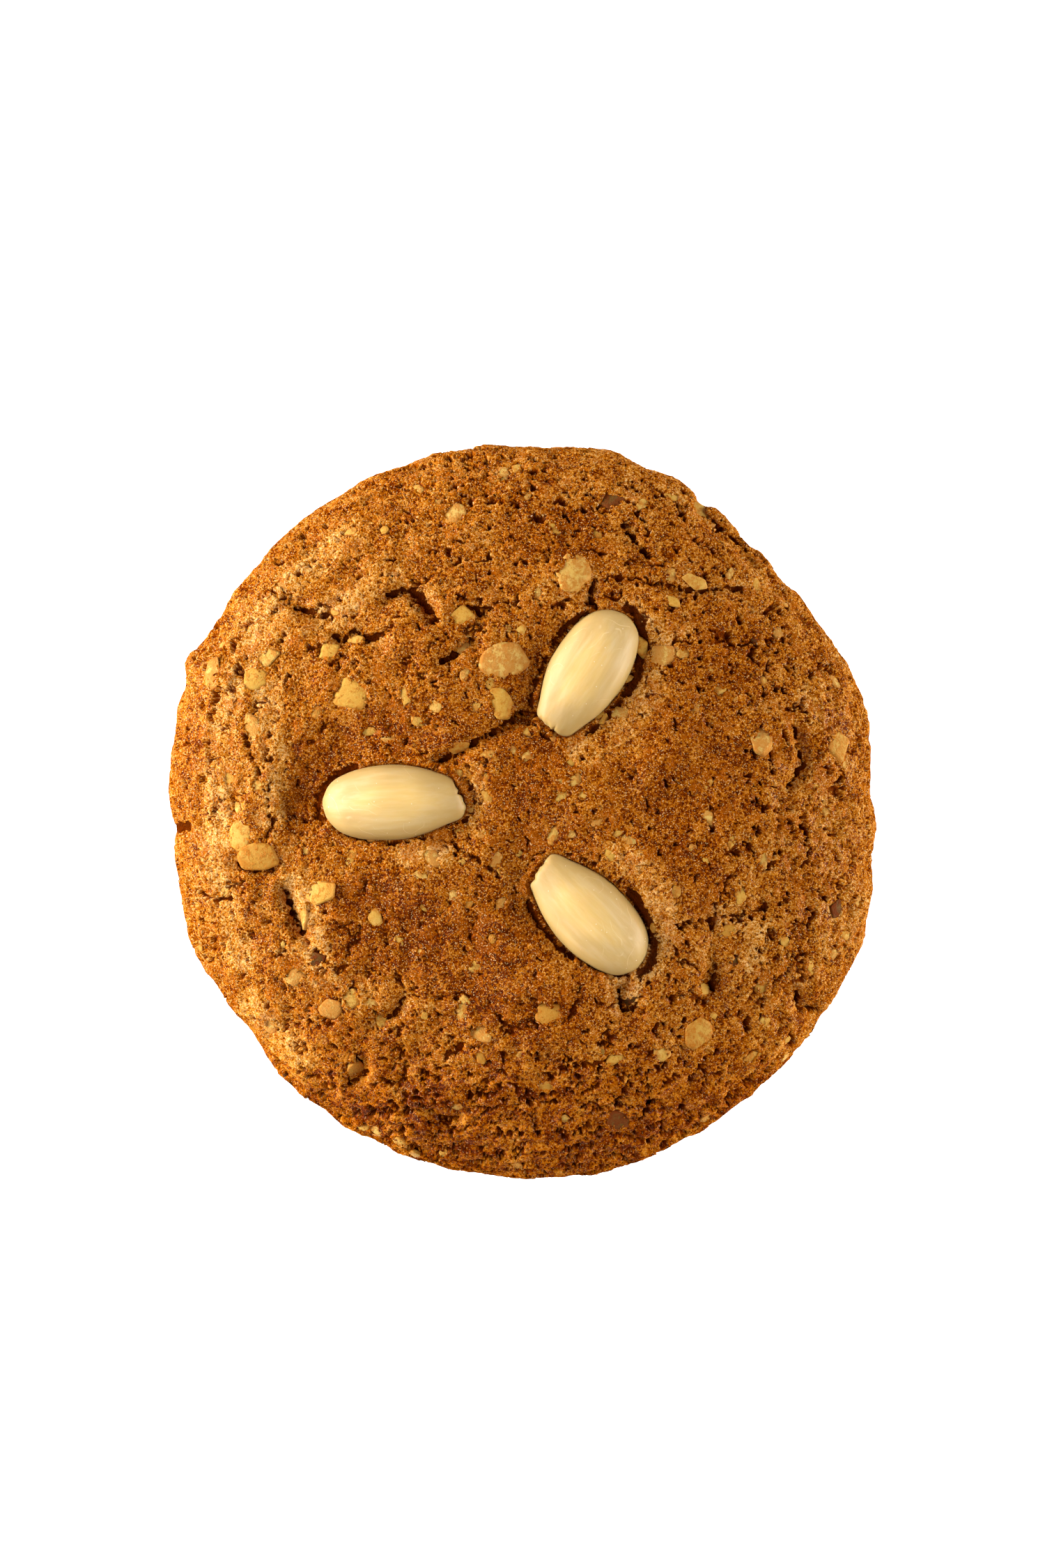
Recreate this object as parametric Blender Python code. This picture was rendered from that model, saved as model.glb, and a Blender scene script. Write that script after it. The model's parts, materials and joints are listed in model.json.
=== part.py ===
"""A round lebkuchen with three blanched almonds pressed into its crust.

Run it with  blender --background --python part.py  or from the Text Editor.
Units are metres and +Z is up. The origin is the middle of the flat underside.
Plan places are (x, y) in millimetres, seen from above with +Y away from the reader.
"""

import math
import random

import bmesh
import bpy
from mathutils import Matrix, Vector, kdtree, noise
from mathutils.bvhtree import BVHTree

MM = 0.001

# Driving dimensions of the baked dough.
MEAN_RADIUS = 49.2 * MM
LONGER_IN_Y = 1.05 * MM
HEIGHT = 18.0 * MM
WIDEST_LEVEL = 4.6 * MM
FOOT_TUCK = 1.9 * MM
CROWN_POWER = 2.7
OUTLINE_FADE = 3
STEEPEST_SHARE = 0.97
FOOT_STEPS = 8
CROWN_STEPS = 60
DOME_SUBDIVISIONS = 7
CRUST_TRIANGLES = 8600

# Where the outline swells out or draws in: angle and reach in degrees, height in millimetres.
OUTLINE_SWELLS = (
    (5, 6, -0.6),
    (18, 11, 0.3),
    (42, 10, -0.9),
    (77, 12, 0.3),
    (130, 18, 0.75),
    (155, 3, 1.4),
    (167, 9, 0.9),
    (200, 12, 0.35),
    (220, 10, -0.6),
    (243, 8, -0.8),
    (262, 8, -0.35),
    (290, 12, 0.4),
    (322, 9, -0.3),
    (335, 26, 1.25),
)

# Relief of the crust: size across and height of each kind of lump, then of the pits.
LUMPS = ((19 * MM, 0.75 * MM), (7.5 * MM, 0.42 * MM), (3.2 * MM, 0.22 * MM))
EDGE_WAVES = (5.0 * MM, 0.45 * MM)
PIT_COUNT = 210
PIT_RADIUS = (0.7 * MM, 1.25 * MM)
PIT_DEPTH = (0.45 * MM, 0.95 * MM)
PIT_RING = (0.16, 0.97)
STILL_FOOT = 2.5 * MM
NOISE_SEED = 4

# Almonds: middle, direction of the pointed end in degrees, length, width and thickness in millimetres.
ALMONDS = {
    "almond_back": ((8.6, 18.8), 238, (19.6, 10.5, 7.4)),
    "almond_left": ((-17.0, 1.4), 3, (20.3, 10.4, 7.6)),
    "almond_front": ((8.8, -13.6), 135, (20.4, 10.7, 7.5)),
}
ALMOND_SEGMENTS = 26
ALMOND_RINGS = 16
ALMOND_NARROWING = 0.17
ALMOND_BARREL = 0.10
ALMOND_END_FULLNESS = 0.12
ALMOND_BLUNT_TIP = 0.045
ALMOND_SINK = 1.5 * MM
SEAT_GAP = 0.42 * MM
SEAT_FLARE = 0.5 * MM
SEAT_RIM_RISE = 7 * MM
PRESSED_REACH = 4.2 * MM
PRESSED_DEPTH = 0.9 * MM

# Cracks of the crust: depth and half width in millimetres, then the plan places that each runs through.
CRACKS = (
    (1.7, 0.75, ((-11.0, 6.9), (-9.1, 8.0), (-6.8, 9.3), (-3.2, 11.3), (-0.2, 13.3), (2.2, 13.4))),
    (1.5, 0.75, ((-18.2, 29.4), (-16.0, 30.1), (-13.7, 29.3), (-11.7, 25.9))),
    (1.3, 0.70, ((-30.6, 27.9), (-28.4, 27.0), (-26.0, 26.5))),
    (1.3, 0.65, ((-9.1, 27.3), (-7.4, 27.9), (-5.8, 27.1), (-4.4, 27.7))),
    (1.8, 0.95, ((-10.6, 20.6), (-8.6, 21.7), (-6.9, 23.1))),
    (1.2, 0.65, ((-25.4, 23.9), (-24.0, 23.4), (-22.6, 24.7), (-20.6, 23.5), (-18.8, 24.2))),
    (1.4, 0.70, ((14.0, 38.8), (14.9, 37.4), (16.5, 35.6), (17.1, 34.8))),
    (1.4, 0.75, ((9.8, 31.2), (9.1, 29.2), (9.9, 27.7))),
    (1.1, 0.65, ((19.3, 31.0), (21.7, 30.1), (24.0, 30.3), (27.6, 30.5), (30.0, 30.3))),
    (1.3, 0.80, ((24.2, 42.6), (25.5, 40.3), (28.2, 38.3), (31.6, 35.8))),
    (1.5, 0.80, ((37.1, 11.2), (37.6, 8.3), (38.3, 6.6), (37.1, 5.1), (36.0, 3.2))),
    (1.8, 0.85, ((-31.9, -11.0), (-31.2, -12.9), (-30.6, -15.0), (-29.8, -16.3))),
    (1.4, 0.75, ((-38.4, -7.2), (-36.7, -8.0), (-34.0, -7.5))),
    (1.3, 0.70, ((-19.6, -28.4), (-17.6, -27.7), (-16.0, -25.3))),
    (1.5, 0.80, ((-21.9, -33.7), (-21.5, -35.8), (-23.0, -36.6))),
    (1.3, 0.75, ((-12.6, -40.6), (-10.7, -41.6), (-8.4, -41.3))),
    (1.2, 0.65, ((21.8, -15.0), (24.6, -14.6), (30.6, -13.6), (31.9, -13.2), (35.4, -12.4))),
    (1.4, 0.70, ((13.2, -23.9), (13.5, -26.6), (15.6, -26.4))),
    (1.5, 0.80, ((26.1, -20.6), (26.1, -22.4), (25.6, -23.9))),
    (1.5, 0.80, ((37.2, -24.5), (37.9, -26.9), (40.0, -27.0))),
)
CRACK_WANDER = 0.9 * MM
CRACK_WANDER_SIZE = 2.4 * MM

# Chopped nuts that stand a little proud: plan place, length and width in millimetres, turn in degrees.
NUT_PIECES = (
    ((-2.7, 20.6), (4.5, 3.8), 10),
    ((-23.2, 16.2), (4.2, 3.4), 20),
    ((-3.0, 14.9), (3.4, 2.3), 105),
    ((-8.1, 26.6), (2.7, 2.3), 0),
    ((-34.7, 21.1), (3.1, 2.2), 15),
    ((-36.2, 18.1), (2.6, 2.2), 60),
    ((-42.2, 18.8), (3.2, 1.7), 85),
    ((-36.7, 11.5), (3.3, 1.7), 118),
    ((-26.2, 22.0), (2.3, 1.8), 35),
    ((7.0, 32.6), (4.3, 3.4), 80),
    ((19.1, 21.1), (2.8, 2.5), 30),
    ((43.0, 9.0), (3.3, 2.7), 100),
    ((32.5, 10.0), (3.0, 2.1), 80),
    ((-36.0, -6.0), (3.8, 3.0), 0),
    ((-38.4, -3.1), (3.1, 2.5), 70),
    ((-29.7, -13.6), (4.6, 1.6), 98),
    ((-27.5, -11.0), (3.2, 2.4), 20),
    ((-30.9, -22.4), (2.5, 1.8), 10),
    ((-26.0, -26.7), (2.6, 2.0), 20),
    ((24.0, -30.0), (3.5, 2.6), 65),
    ((24.4, 41.2), (2.4, 1.6), 150),
)
NUT_THICKNESS = 1.6 * MM
NUT_PROUD = 0.40 * MM
NUT_UNEVEN = 0.16
NUT_SEED = 11


def clear_scene():
    for old in list(bpy.data.objects):
        bpy.data.objects.remove(old)


def new_collection(name):
    made = bpy.data.collections.new(name)
    bpy.context.scene.collection.children.link(made)
    return made


def new_object(name, mesh, collection):
    made = bpy.data.objects.new(name, mesh)
    collection.objects.link(made)
    return made


def matte_food(name, colour, roughness):
    """A baked surface with its colour, without metal or gloss."""
    material = bpy.data.materials.new(name)
    material.use_nodes = True
    shader = material.node_tree.nodes["Principled BSDF"]
    shader.inputs["Base Color"].default_value = (*colour, 1.0)
    shader.inputs["Roughness"].default_value = roughness
    shader.inputs["Metallic"].default_value = 0.0
    return material


def smooth_step(share):
    share = min(max(share, 0.0), 1.0)
    return share * share * (3 - 2 * share)


def mesh_from(bm, name):
    mesh = bpy.data.meshes.new(name)
    bm.to_mesh(mesh)
    bm.free()
    return mesh


def evaluated_mesh(made):
    """A plain mesh of the object with its modifiers applied."""
    bpy.context.view_layer.update()
    graph = bpy.context.evaluated_depsgraph_get()
    return bpy.data.meshes.new_from_object(made.evaluated_get(graph))


# --- The turned form of the dough.


def outline_radius(azimuth):
    """Radius of the widest outline at an azimuth in radians."""
    radius = MEAN_RADIUS - LONGER_IN_Y * math.cos(2 * azimuth)
    for angle, reach, height in OUTLINE_SWELLS:
        away = (math.degrees(azimuth) - angle + 180) % 360 - 180
        radius += height * MM * math.exp(-((away / reach) ** 2))
    wave_size, wave_height = EDGE_WAVES
    spot = Vector((math.cos(azimuth), math.sin(azimuth), 0)) * (MEAN_RADIUS / wave_size)
    return radius + wave_height * noise.noise(spot)


def section():
    """(radius, height) down the round section, from the middle of the top to the foot."""
    points = []
    for step in range(CROWN_STEPS + 1):
        turn = math.pi / 2 * step / CROWN_STEPS
        radius = MEAN_RADIUS * math.sin(turn) ** (2 / CROWN_POWER)
        height = WIDEST_LEVEL + (HEIGHT - WIDEST_LEVEL) * math.cos(turn)
        points.append(Vector((radius, height)))
    for step in range(1, FOOT_STEPS + 1):
        share = step / FOOT_STEPS
        points.append(Vector((MEAN_RADIUS - FOOT_TUCK * share**2, WIDEST_LEVEL * (1 - share))))
    return points


def at_share(points, reached, share):
    """The point at a share of the section's length. reached holds the length up to each point."""
    wanted = share * reached[-1]
    after = next(i for i, length in enumerate(reached) if length >= wanted - 1e-12)
    if after == 0:
        return points[0]
    span = reached[after] - reached[after - 1]
    return points[after - 1].lerp(points[after], (wanted - reached[after - 1]) / span)


def dome_bmesh():
    """The upper half of an icosphere, its rings laid on the dough's section."""
    points = section()
    reached = [0.0]
    for first, second in zip(points, points[1:]):
        reached.append(reached[-1] + (second - first).length)
    bm = bmesh.new()
    bmesh.ops.create_icosphere(bm, subdivisions=DOME_SUBDIVISIONS, radius=1)
    below = [vertex for vertex in bm.verts if vertex.co.z < -1e-5]
    bmesh.ops.delete(bm, geom=below, context="VERTS")
    for vertex in bm.verts:
        polar = math.acos(min(max(vertex.co.z, 0.0), 1.0))
        azimuth = math.atan2(vertex.co.y, vertex.co.x)
        share = min(math.sqrt(2) * math.sin(polar / 2), 1.0)
        radius, height = at_share(points, reached, share)
        outward = (radius / MEAN_RADIUS) ** OUTLINE_FADE
        radius *= 1 + outward * (outline_radius(azimuth) / MEAN_RADIUS - 1)
        vertex.co = (radius * math.cos(azimuth), radius * math.sin(azimuth), height)
    bm.normal_update()
    return bm


# --- Relief of the crust, as a height along the surface's normal.


def lumps(spot):
    height = 0.0
    for size, swing in LUMPS:
        height += swing * noise.noise(spot / size + Vector((NOISE_SEED, 0, 0)))
    return height


def seeded_pits():
    """A finder of the nearest pit, and each pit's radius and depth."""
    draw = random.Random(NOISE_SEED)
    tree = kdtree.KDTree(PIT_COUNT)
    sizes = []
    for index in range(PIT_COUNT):
        radius = MEAN_RADIUS * math.sqrt(draw.uniform(*PIT_RING))
        azimuth = draw.uniform(0, 2 * math.pi)
        tree.insert((radius * math.cos(azimuth), radius * math.sin(azimuth), 0), index)
        sizes.append((draw.uniform(*PIT_RADIUS), draw.uniform(*PIT_DEPTH)))
    tree.balance()
    return tree, sizes


def pitted(spot, pits):
    tree, sizes = pits
    _, index, away = tree.find(Vector((spot.x, spot.y, 0)))
    radius, depth = sizes[index]
    return -depth * smooth_step(1 - away / radius)


def off_segment(place, start, end):
    along = end - start
    share = min(max((place - start).dot(along) / along.length_squared, 0.0), 1.0)
    return (place - start - along * share).length


def cracked(spot):
    """Depth of the deepest crack at this place."""
    wander = noise.noise_vector(spot / CRACK_WANDER_SIZE) * CRACK_WANDER
    place = Vector((spot.x + wander.x, spot.y + wander.y))
    deepest = 0.0
    for depth, half_width, places in CRACKS:
        route = [Vector(point) * MM for point in places]
        away = min(off_segment(place, start, end) for start, end in zip(route, route[1:]))
        deepest = max(deepest, depth * MM * smooth_step(1 - away / (2 * half_width * MM)))
    return -deepest


def pressed(spot):
    """The crust sinks towards each almond."""
    sunk = 0.0
    for (middle_x, middle_y), turn, (length, width, _) in ALMONDS.values():
        place = Vector((spot.x - middle_x * MM, spot.y - middle_y * MM))
        place.rotate(Matrix.Rotation(-math.radians(turn), 2))
        scaled = math.hypot(place.x / (length * MM / 2), place.y / (width * MM / 2))
        away = (scaled - 1) * width * MM / 2
        sunk = max(sunk, smooth_step(1 - away / PRESSED_REACH))
    return -PRESSED_DEPTH * sunk


def give_relief(bm):
    """Moves each vertex of the dome along its normal. The foot stays still, so that the underside is flat."""
    pits = seeded_pits()
    for vertex in bm.verts:
        spot = vertex.co.copy()
        height = lumps(spot) + pitted(spot, pits) + cracked(spot) + pressed(spot)
        vertex.co = spot + vertex.normal * height * smooth_step(spot.z / STILL_FOOT)


def thinned(bm):
    """The crust with few triangles where it is smooth and many along its cracks and pits."""
    bmesh.ops.triangulate(bm, faces=bm.faces)
    share_kept = CRUST_TRIANGLES / len(bm.faces)
    helper = new_object("fine_crust", mesh_from(bm, "fine_crust"), bpy.context.scene.collection)
    thin = helper.modifiers.new("Thin", "DECIMATE")
    thin.ratio = share_kept
    made = evaluated_mesh(helper)
    bpy.data.objects.remove(helper)
    return made


def dough_mesh():
    """The domed crust with its relief, closed by a flat underside."""
    dome = dome_bmesh()
    give_relief(dome)
    bm = bmesh.new()
    bm.from_mesh(thinned(dome))
    rim = [edge for edge in bm.edges if edge.is_boundary]
    for vertex in {vertex for edge in rim for vertex in edge.verts}:
        vertex.co.z = 0.0
    bmesh.ops.edgeloop_fill(bm, edges=rim)
    bmesh.ops.recalc_face_normals(bm, faces=bm.faces)
    centre_in_plan(bm)
    return mesh_from(bm, "lebkuchen")


def centre_in_plan(bm):
    """Moves the mesh so that its box is centred on the origin in plan."""
    xs = [vertex.co.x for vertex in bm.verts]
    ys = [vertex.co.y for vertex in bm.verts]
    middle = Vector(((min(xs) + max(xs)) / 2, (min(ys) + max(ys)) / 2, 0))
    bmesh.ops.translate(bm, verts=bm.verts, vec=-middle)


# --- Almonds and the seats that they leave in the dough.


def almond_bmesh(size, swell=0.0):
    """An almond that lies along X with its pointed end at +X. swell grows it outwards all round."""
    length, width, thickness = (value * MM for value in size)
    bm = bmesh.new()
    bmesh.ops.create_uvsphere(bm, u_segments=ALMOND_SEGMENTS, v_segments=ALMOND_RINGS, radius=1)
    bmesh.ops.rotate(bm, verts=bm.verts, cent=(0, 0, 0), matrix=Matrix.Rotation(math.pi / 2, 3, "Y"))
    for vertex in bm.verts:
        along, across, up = vertex.co
        near_end = smooth_step((abs(along) - 0.55) / 0.4)
        taper = 1 - ALMOND_NARROWING * along - ALMOND_BARREL * along**2 + ALMOND_END_FULLNESS * near_end
        vertex.co = (
            length / 2 * (along - ALMOND_BLUNT_TIP * max(along, 0) ** 8),
            width / 2 * across * taper,
            thickness / 2 * up * taper,
        )
    bm.normal_update()
    for vertex in bm.verts:
        vertex.co += vertex.normal * swell
    return bm


def seat_bmesh(size):
    """The room that an almond needs: its swollen lower half, with straight flared walls above."""
    bm = almond_bmesh(size, SEAT_GAP)
    for vertex in bm.verts:
        if vertex.co.z > 1e-6:
            outward = Vector((vertex.co.x, vertex.co.y, 0)).normalized()
            vertex.co += outward * SEAT_FLARE
            vertex.co.z += SEAT_RIM_RISE
    return bm


def crust_height(plan):
    """Height and slope of the smooth dome at a plan place: (height, unit normal)."""
    share = min(plan.length / outline_radius(math.atan2(plan.y, plan.x)), STEEPEST_SHARE)
    crown = HEIGHT - WIDEST_LEVEL
    drop = math.sqrt(1 - share**CROWN_POWER)
    fall = crown * CROWN_POWER / 2 * share ** (CROWN_POWER - 1) / drop / MEAN_RADIUS
    outward = plan.normalized()
    normal = Vector((outward.x * fall, outward.y * fall, 1)).normalized()
    return WIDEST_LEVEL + crown * drop, normal


def almond_place(plan_mm, turn):
    """Matrix that sinks an almond into the crust, level with its slope."""
    plan = Vector(plan_mm) * MM
    height, normal = crust_height(plan)
    upright = Vector((0, 0, 1)).rotation_difference(normal).to_matrix().to_4x4()
    middle = Vector((plan.x, plan.y, height)) - normal * ALMOND_SINK
    return Matrix.Translation(middle) @ upright @ Matrix.Rotation(math.radians(turn), 4, "Z")


def add_almonds(parts, cutters, material):
    for name, (plan, turn, size) in ALMONDS.items():
        place = almond_place(plan, turn)
        almond = new_object(name, mesh_from(almond_bmesh(size), name), parts)
        almond.matrix_world = place
        almond.data.shade_smooth()
        almond.data.materials.append(material)
        seat = new_object(name + "_seat", mesh_from(seat_bmesh(size), name + "_seat"), cutters)
        seat.matrix_world = place
        seat.hide_render = True
        seat.display_type = "WIRE"


# --- Nut pieces fused to the crust.


def nut_bmesh(size, draw):
    """An angular chip: an icosahedron with uneven corners."""
    length, width = (value * MM for value in size)
    bm = bmesh.new()
    bmesh.ops.create_icosphere(bm, subdivisions=1, radius=1)
    half = (length / 2, width / 2, NUT_THICKNESS / 2)
    for vertex in bm.verts:
        uneven = 1 + draw.uniform(-NUT_UNEVEN, NUT_UNEVEN)
        vertex.co = Vector(side * reach for side, reach in zip(vertex.co, half)) * uneven
    return bm


def add_nut_pieces(dough, collection):
    """Loose chips, laid on the crust that dough has below them."""
    draw = random.Random(NUT_SEED)
    crust = BVHTree.FromObject(dough, bpy.context.evaluated_depsgraph_get())
    for index, (plan, size, turn) in enumerate(NUT_PIECES):
        above = Vector((plan[0] * MM, plan[1] * MM, 2 * HEIGHT))
        spot, _, _, _ = crust.ray_cast(above, Vector((0, 0, -1)))
        _, normal = crust_height(above.xy)
        middle = spot + normal * (NUT_PROUD - NUT_THICKNESS / 2)
        upright = Vector((0, 0, 1)).rotation_difference(normal).to_matrix().to_4x4()
        place = Matrix.Translation(middle) @ upright @ Matrix.Rotation(math.radians(turn), 4, "Z")
        mesh = mesh_from(nut_bmesh(size, draw), "nut_piece")
        new_object(f"nut_piece_{index}", mesh, collection).matrix_world = place


def fuse_nut_pieces(dough):
    """One union of all chips with the dough, applied, after which the chips are removed."""
    collection = new_collection("nut_pieces")
    add_nut_pieces(dough, collection)
    fuse = dough.modifiers.new("Fuse nut pieces", "BOOLEAN")
    fuse.operation = "UNION"
    fuse.operand_type = "COLLECTION"
    fuse.collection = collection
    fused = evaluated_mesh(dough)
    dough.modifiers.clear()
    dough.data = fused
    for chip in list(collection.objects):
        bpy.data.objects.remove(chip)
    bpy.data.collections.remove(collection)


def cut_seats(dough, cutters):
    for seat in cutters.objects:
        cut = dough.modifiers.new("Cut " + seat.name, "BOOLEAN")
        cut.operation = "DIFFERENCE"
        cut.object = seat


def build():
    clear_scene()
    parts = new_collection("lebkuchen_with_almonds")
    cutters = new_collection("cutters")
    dough = new_object("lebkuchen", dough_mesh(), parts)
    fuse_nut_pieces(dough)
    add_almonds(parts, cutters, matte_food("blanched almond", (0.72, 0.52, 0.25), 0.38))
    cut_seats(dough, cutters)
    dough.data.shade_smooth()
    dough.data.materials.append(matte_food("baked dough", (0.40, 0.15, 0.035), 0.62))


build()
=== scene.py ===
"""The looks of a round lebkuchen with three blanched almonds, built around its solid model.

Units are metres and +Z is up. The origin is the middle of the flat underside.
Plan places are (x, y) in millimetres, seen from above with +Y away from the reader.
The crust's patterns are worked out in millimetres, from where its skin lay before the pores opened.
"""

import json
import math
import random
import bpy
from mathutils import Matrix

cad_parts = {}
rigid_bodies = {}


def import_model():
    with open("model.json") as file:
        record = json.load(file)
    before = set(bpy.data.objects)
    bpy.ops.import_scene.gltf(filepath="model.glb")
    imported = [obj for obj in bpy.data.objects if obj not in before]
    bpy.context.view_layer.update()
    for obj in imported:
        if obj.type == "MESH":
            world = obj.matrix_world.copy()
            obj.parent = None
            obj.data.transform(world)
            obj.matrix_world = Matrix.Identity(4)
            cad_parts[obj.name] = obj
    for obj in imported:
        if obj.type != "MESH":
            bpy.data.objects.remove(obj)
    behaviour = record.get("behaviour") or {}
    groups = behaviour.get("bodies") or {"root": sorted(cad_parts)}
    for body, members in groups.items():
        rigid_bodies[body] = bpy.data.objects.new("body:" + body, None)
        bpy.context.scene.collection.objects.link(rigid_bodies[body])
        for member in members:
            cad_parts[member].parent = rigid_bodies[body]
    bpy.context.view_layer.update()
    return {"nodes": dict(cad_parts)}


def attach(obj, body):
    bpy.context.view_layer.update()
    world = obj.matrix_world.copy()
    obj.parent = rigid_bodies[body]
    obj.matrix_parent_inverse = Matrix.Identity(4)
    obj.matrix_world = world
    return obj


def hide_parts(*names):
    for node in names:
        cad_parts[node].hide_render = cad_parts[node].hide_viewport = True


bl_info = {
    "name": "Lebkuchen with almonds",
    "version": (1, 0, 0),
    "blender": (4, 5, 0),
    "location": "3D View > Sidebar > Lebkuchen",
    "description": "The crust, almonds and chopped nuts of a lebkuchen, around its solid model",
    "category": "Object",
}

from contextlib import contextmanager

import bpy
import numpy as np
from bpy.props import FloatProperty, FloatVectorProperty, IntProperty, PointerProperty
from mathutils import Matrix, Vector
from mathutils.bvhtree import BVHTree

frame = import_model()

MM = 0.001

# The photograph's frame: its size in pixels, the pixel of the origin and the scale at the widest level.
PHOTO_WIDTH, PHOTO_HEIGHT = 1500, 2250
ORIGIN_PIXEL = (749.5, 1165.5)
PIXELS_PER_MM = 10.5
WIDEST_LEVEL = 4.6 * MM

# Cracks: depth and half width in millimetres, then the plan places that each runs through.
CRACKS = (
    (1.6, 0.43, ((-11, 6.9), (-9.1, 8), (-6.8, 9.3), (-3.2, 11.3), (-0.2, 13.3), (2.2, 13.4))),
    (1.5, 0.5, ((-18.2, 29.4), (-16, 30.1), (-13.7, 29.3), (-11.7, 25.9))),
    (1.2, 0.41, ((-30.6, 27.9), (-28.4, 27), (-26, 26.5))),
    (1.2, 0.36, ((-9.1, 27.3), (-7.4, 27.9), (-5.8, 27.1), (-4.4, 27.7))),
    (1.4, 0.38, ((-10.9, 20.4), (-8.6, 21.7), (-6.9, 23.3))),
    (1.1, 0.38, ((-25.4, 23.9), (-24, 23.4), (-22.6, 24.7), (-20.6, 23.5), (-18.8, 24.2))),
    (1.3, 0.38, ((14, 38.8), (14.9, 37.4), (16.5, 35.6), (17.1, 34.8))),
    (1.3, 0.36, ((9.8, 31.2), (9.1, 29.2), (9.9, 27.7))),
    (1, 0.34, ((19.3, 31), (21.7, 30.1), (24, 30.3), (27.6, 30.5), (30, 30.3))),
    (0.6, 0.2, ((24.9, 40.7), (26.2, 39.4), (28.4, 37.6), (30.6, 35.6))),
    (1.1, 0.26, ((37.1, 11.2), (37.6, 8.3), (38.3, 6.6), (37.1, 5.1), (36, 3.2))),
    (1.8, 0.37, ((-31.9, -11), (-31.2, -12.9), (-30.6, -15), (-29.8, -16.3))),
    (1.4, 0.31, ((-38.4, -7.2), (-36.7, -8), (-34, -7.5))),
    (1.2, 0.28, ((-19.6, -28.4), (-17.6, -27.7), (-16, -25.3))),
    (1.1, 0.26, ((-21.9, -33.7), (-21.5, -35.8), (-23, -36.6))),
    (1.2, 0.31, ((-12.6, -40.6), (-10.7, -41.6), (-8.4, -41.3))),
    (1, 0.19, ((21.8, -15), (24.6, -14.6), (30.6, -13.6), (31.9, -13.2), (35.4, -12.4))),
    (1.4, 0.28, ((13.2, -23.9), (13.5, -26.6), (15.6, -26.4))),
    (1.5, 0.31, ((26.1, -20.6), (26.1, -22.4), (25.6, -23.9))),
    (1.5, 0.34, ((37.2, -24.5), (37.9, -26.9), (40, -27))),
    (1.2, 0.22, ((-32.1, 23.8), (-33, 23.1))),
    (1.2, 0.25, ((-31.6, 18.7), (-32.2, 17.2))),
    (1.2, 0.22, ((-37.7, 10.6), (-37, 8), (-35.7, 5.4))),
    (1.2, 0.25, ((10.3, 41.5), (12.2, 42.1))),
    (1, 0.25, ((35.3, 23.8), (35.5, 22.8))),
    (1, 0.22, ((29.6, 22.8), (31.6, 23.1))),
    (1.1, 0.22, ((37.8, 16.2), (38.1, 14.2))),
    (1.1, 0.28, ((42.4, 2.8), (43.7, 5.1))),
    (1.2, 0.25, ((-43.9, -10.9), (-42.6, -11.8), (-39.6, -11.6))),
    (1, 0.22, ((-6.8, -39.5), (-4.8, -37.2))),
    (1, 0.22, ((-29.1, -28.3), (-27.5, -29.3))),
    (1.2, 0.25, ((22.7, -36.9), (25, -36.2), (27.3, -35.2))),
    (1, 0.22, ((17.8, -34.2), (19.1, -35.2))),
    (1, 0.19, ((34.2, -5.4), (33.9, -6.5))),
    (1, 0.3, ((-9.6, -4), (-7.4, -5.6), (-4.2, -7.6), (-2.6, -9))),
    # A wide, shallow notch in the outline at the left, darkened with a crack's colours as painted shade.
    (0.4, 0.8, ((-48.4, -2.4), (-45.8, -1.9))),
)

# Broad swells and hollows of the crust: height and half width in millimetres, then the plan places
# that each follows.
SWELLS = (
    (0.7, 2.6, ((18.5, 6), (21.2, 12), (22.6, 19.5))),
    (0.7, 2.4, ((17, -6), (20.6, -11.5), (21.6, -18), (18, -25))),
    (0.4, 2.2, ((-4.4, 6.8), (-2.8, 1.5), (-4.4, -4))),
    (-1.0, 3, ((-31, -3), (-29.6, 4.5), (-24, 9.6), (-14, 10.2))),
    (0.35, 3, ((-37, 19), (-35, 8), (-35, -3))),
    (0.3, 3.5, ((-26, 17), (-12, 17.5))),
    (-0.35, 3.5, ((-31.5, -9), (-29.5, -17))),
    (0.35, 4, ((-14, -9.5), (-4, -14))),
    (-0.4, 4.5, ((-20, -16), (-9, -20))),
    (-0.35, 4, ((24, 1), (33, 4))),
    (1.5, 1.3, ((-46.4, 21), (-46.8, 18.8))),
    (-0.3, 0.8, ((-49, -2.2), (-45.6, -2))),
    (0.6, 1, ((22.6, 44.2), (26.6, 41.6), (30.4, 38), (33.6, 34.6))),
    (-0.4, 0.8, ((23.8, 41.2), (28.4, 37.6), (31.4, 34.2))),
    (0.5, 0.9, ((39.6, 29.4), (41.4, 27.2))),
)

# Half width in millimetres, then the plan places that each follows: where the skin is rubbed to pale crumb
# and painted paler, partly as painted light, and where it is smooth, darkly browned and painted darker,
# partly as painted shade.
PALE_CRUMB_AND_LIGHT = (
    (2.3, ((8, 8.4), (13, 11.4), (17.2, 16), (17.6, 21.5))),
    (2.3, ((13, -5.6), (16.4, -8.4), (18.6, -14), (17.4, -19.4), (13.5, -24))),
    (1.3, ((-6.6, 5.6), (-5.6, 1.5), (-7, -3))),
    (1.2, ((-18, -6.2), (-10, -5.6))),
    (2, ((-34.5, 17), (-33.6, 8), (-34, 0))),
    (2, ((-31, -10), (-28.5, -16), (-27, -22))),
    (1.5, ((19.5, 22.5), (16.5, 27))),
    (1.5, ((26, -13.5), (33, -16), (31, -20))),
    (2, ((-26, 27), (-18, 33))),
    (1.8, ((-24, 38), (-36, 26), (-41, 12), (-42, -6), (-38, -20))),
    (2, ((-37, -26), (-30, -34))),
)
SMOOTH_SKIN_AND_SHADE = (
    (5.5, ((-21, -15), (-8, -19), (0, -24))),
    (3.5, ((-28.5, -1), (-27.5, 7.5), (-19, 11), (-10, 12))),
    (5.5, ((1, 6), (4, 0))),
    (5.5, ((17, 2), (28, 3))),
    (3, ((23, -6), (25, -11))),
    (4, ((2, 38), (8, 36))),
    (4, ((24, 14), (28, 24))),
)

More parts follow.
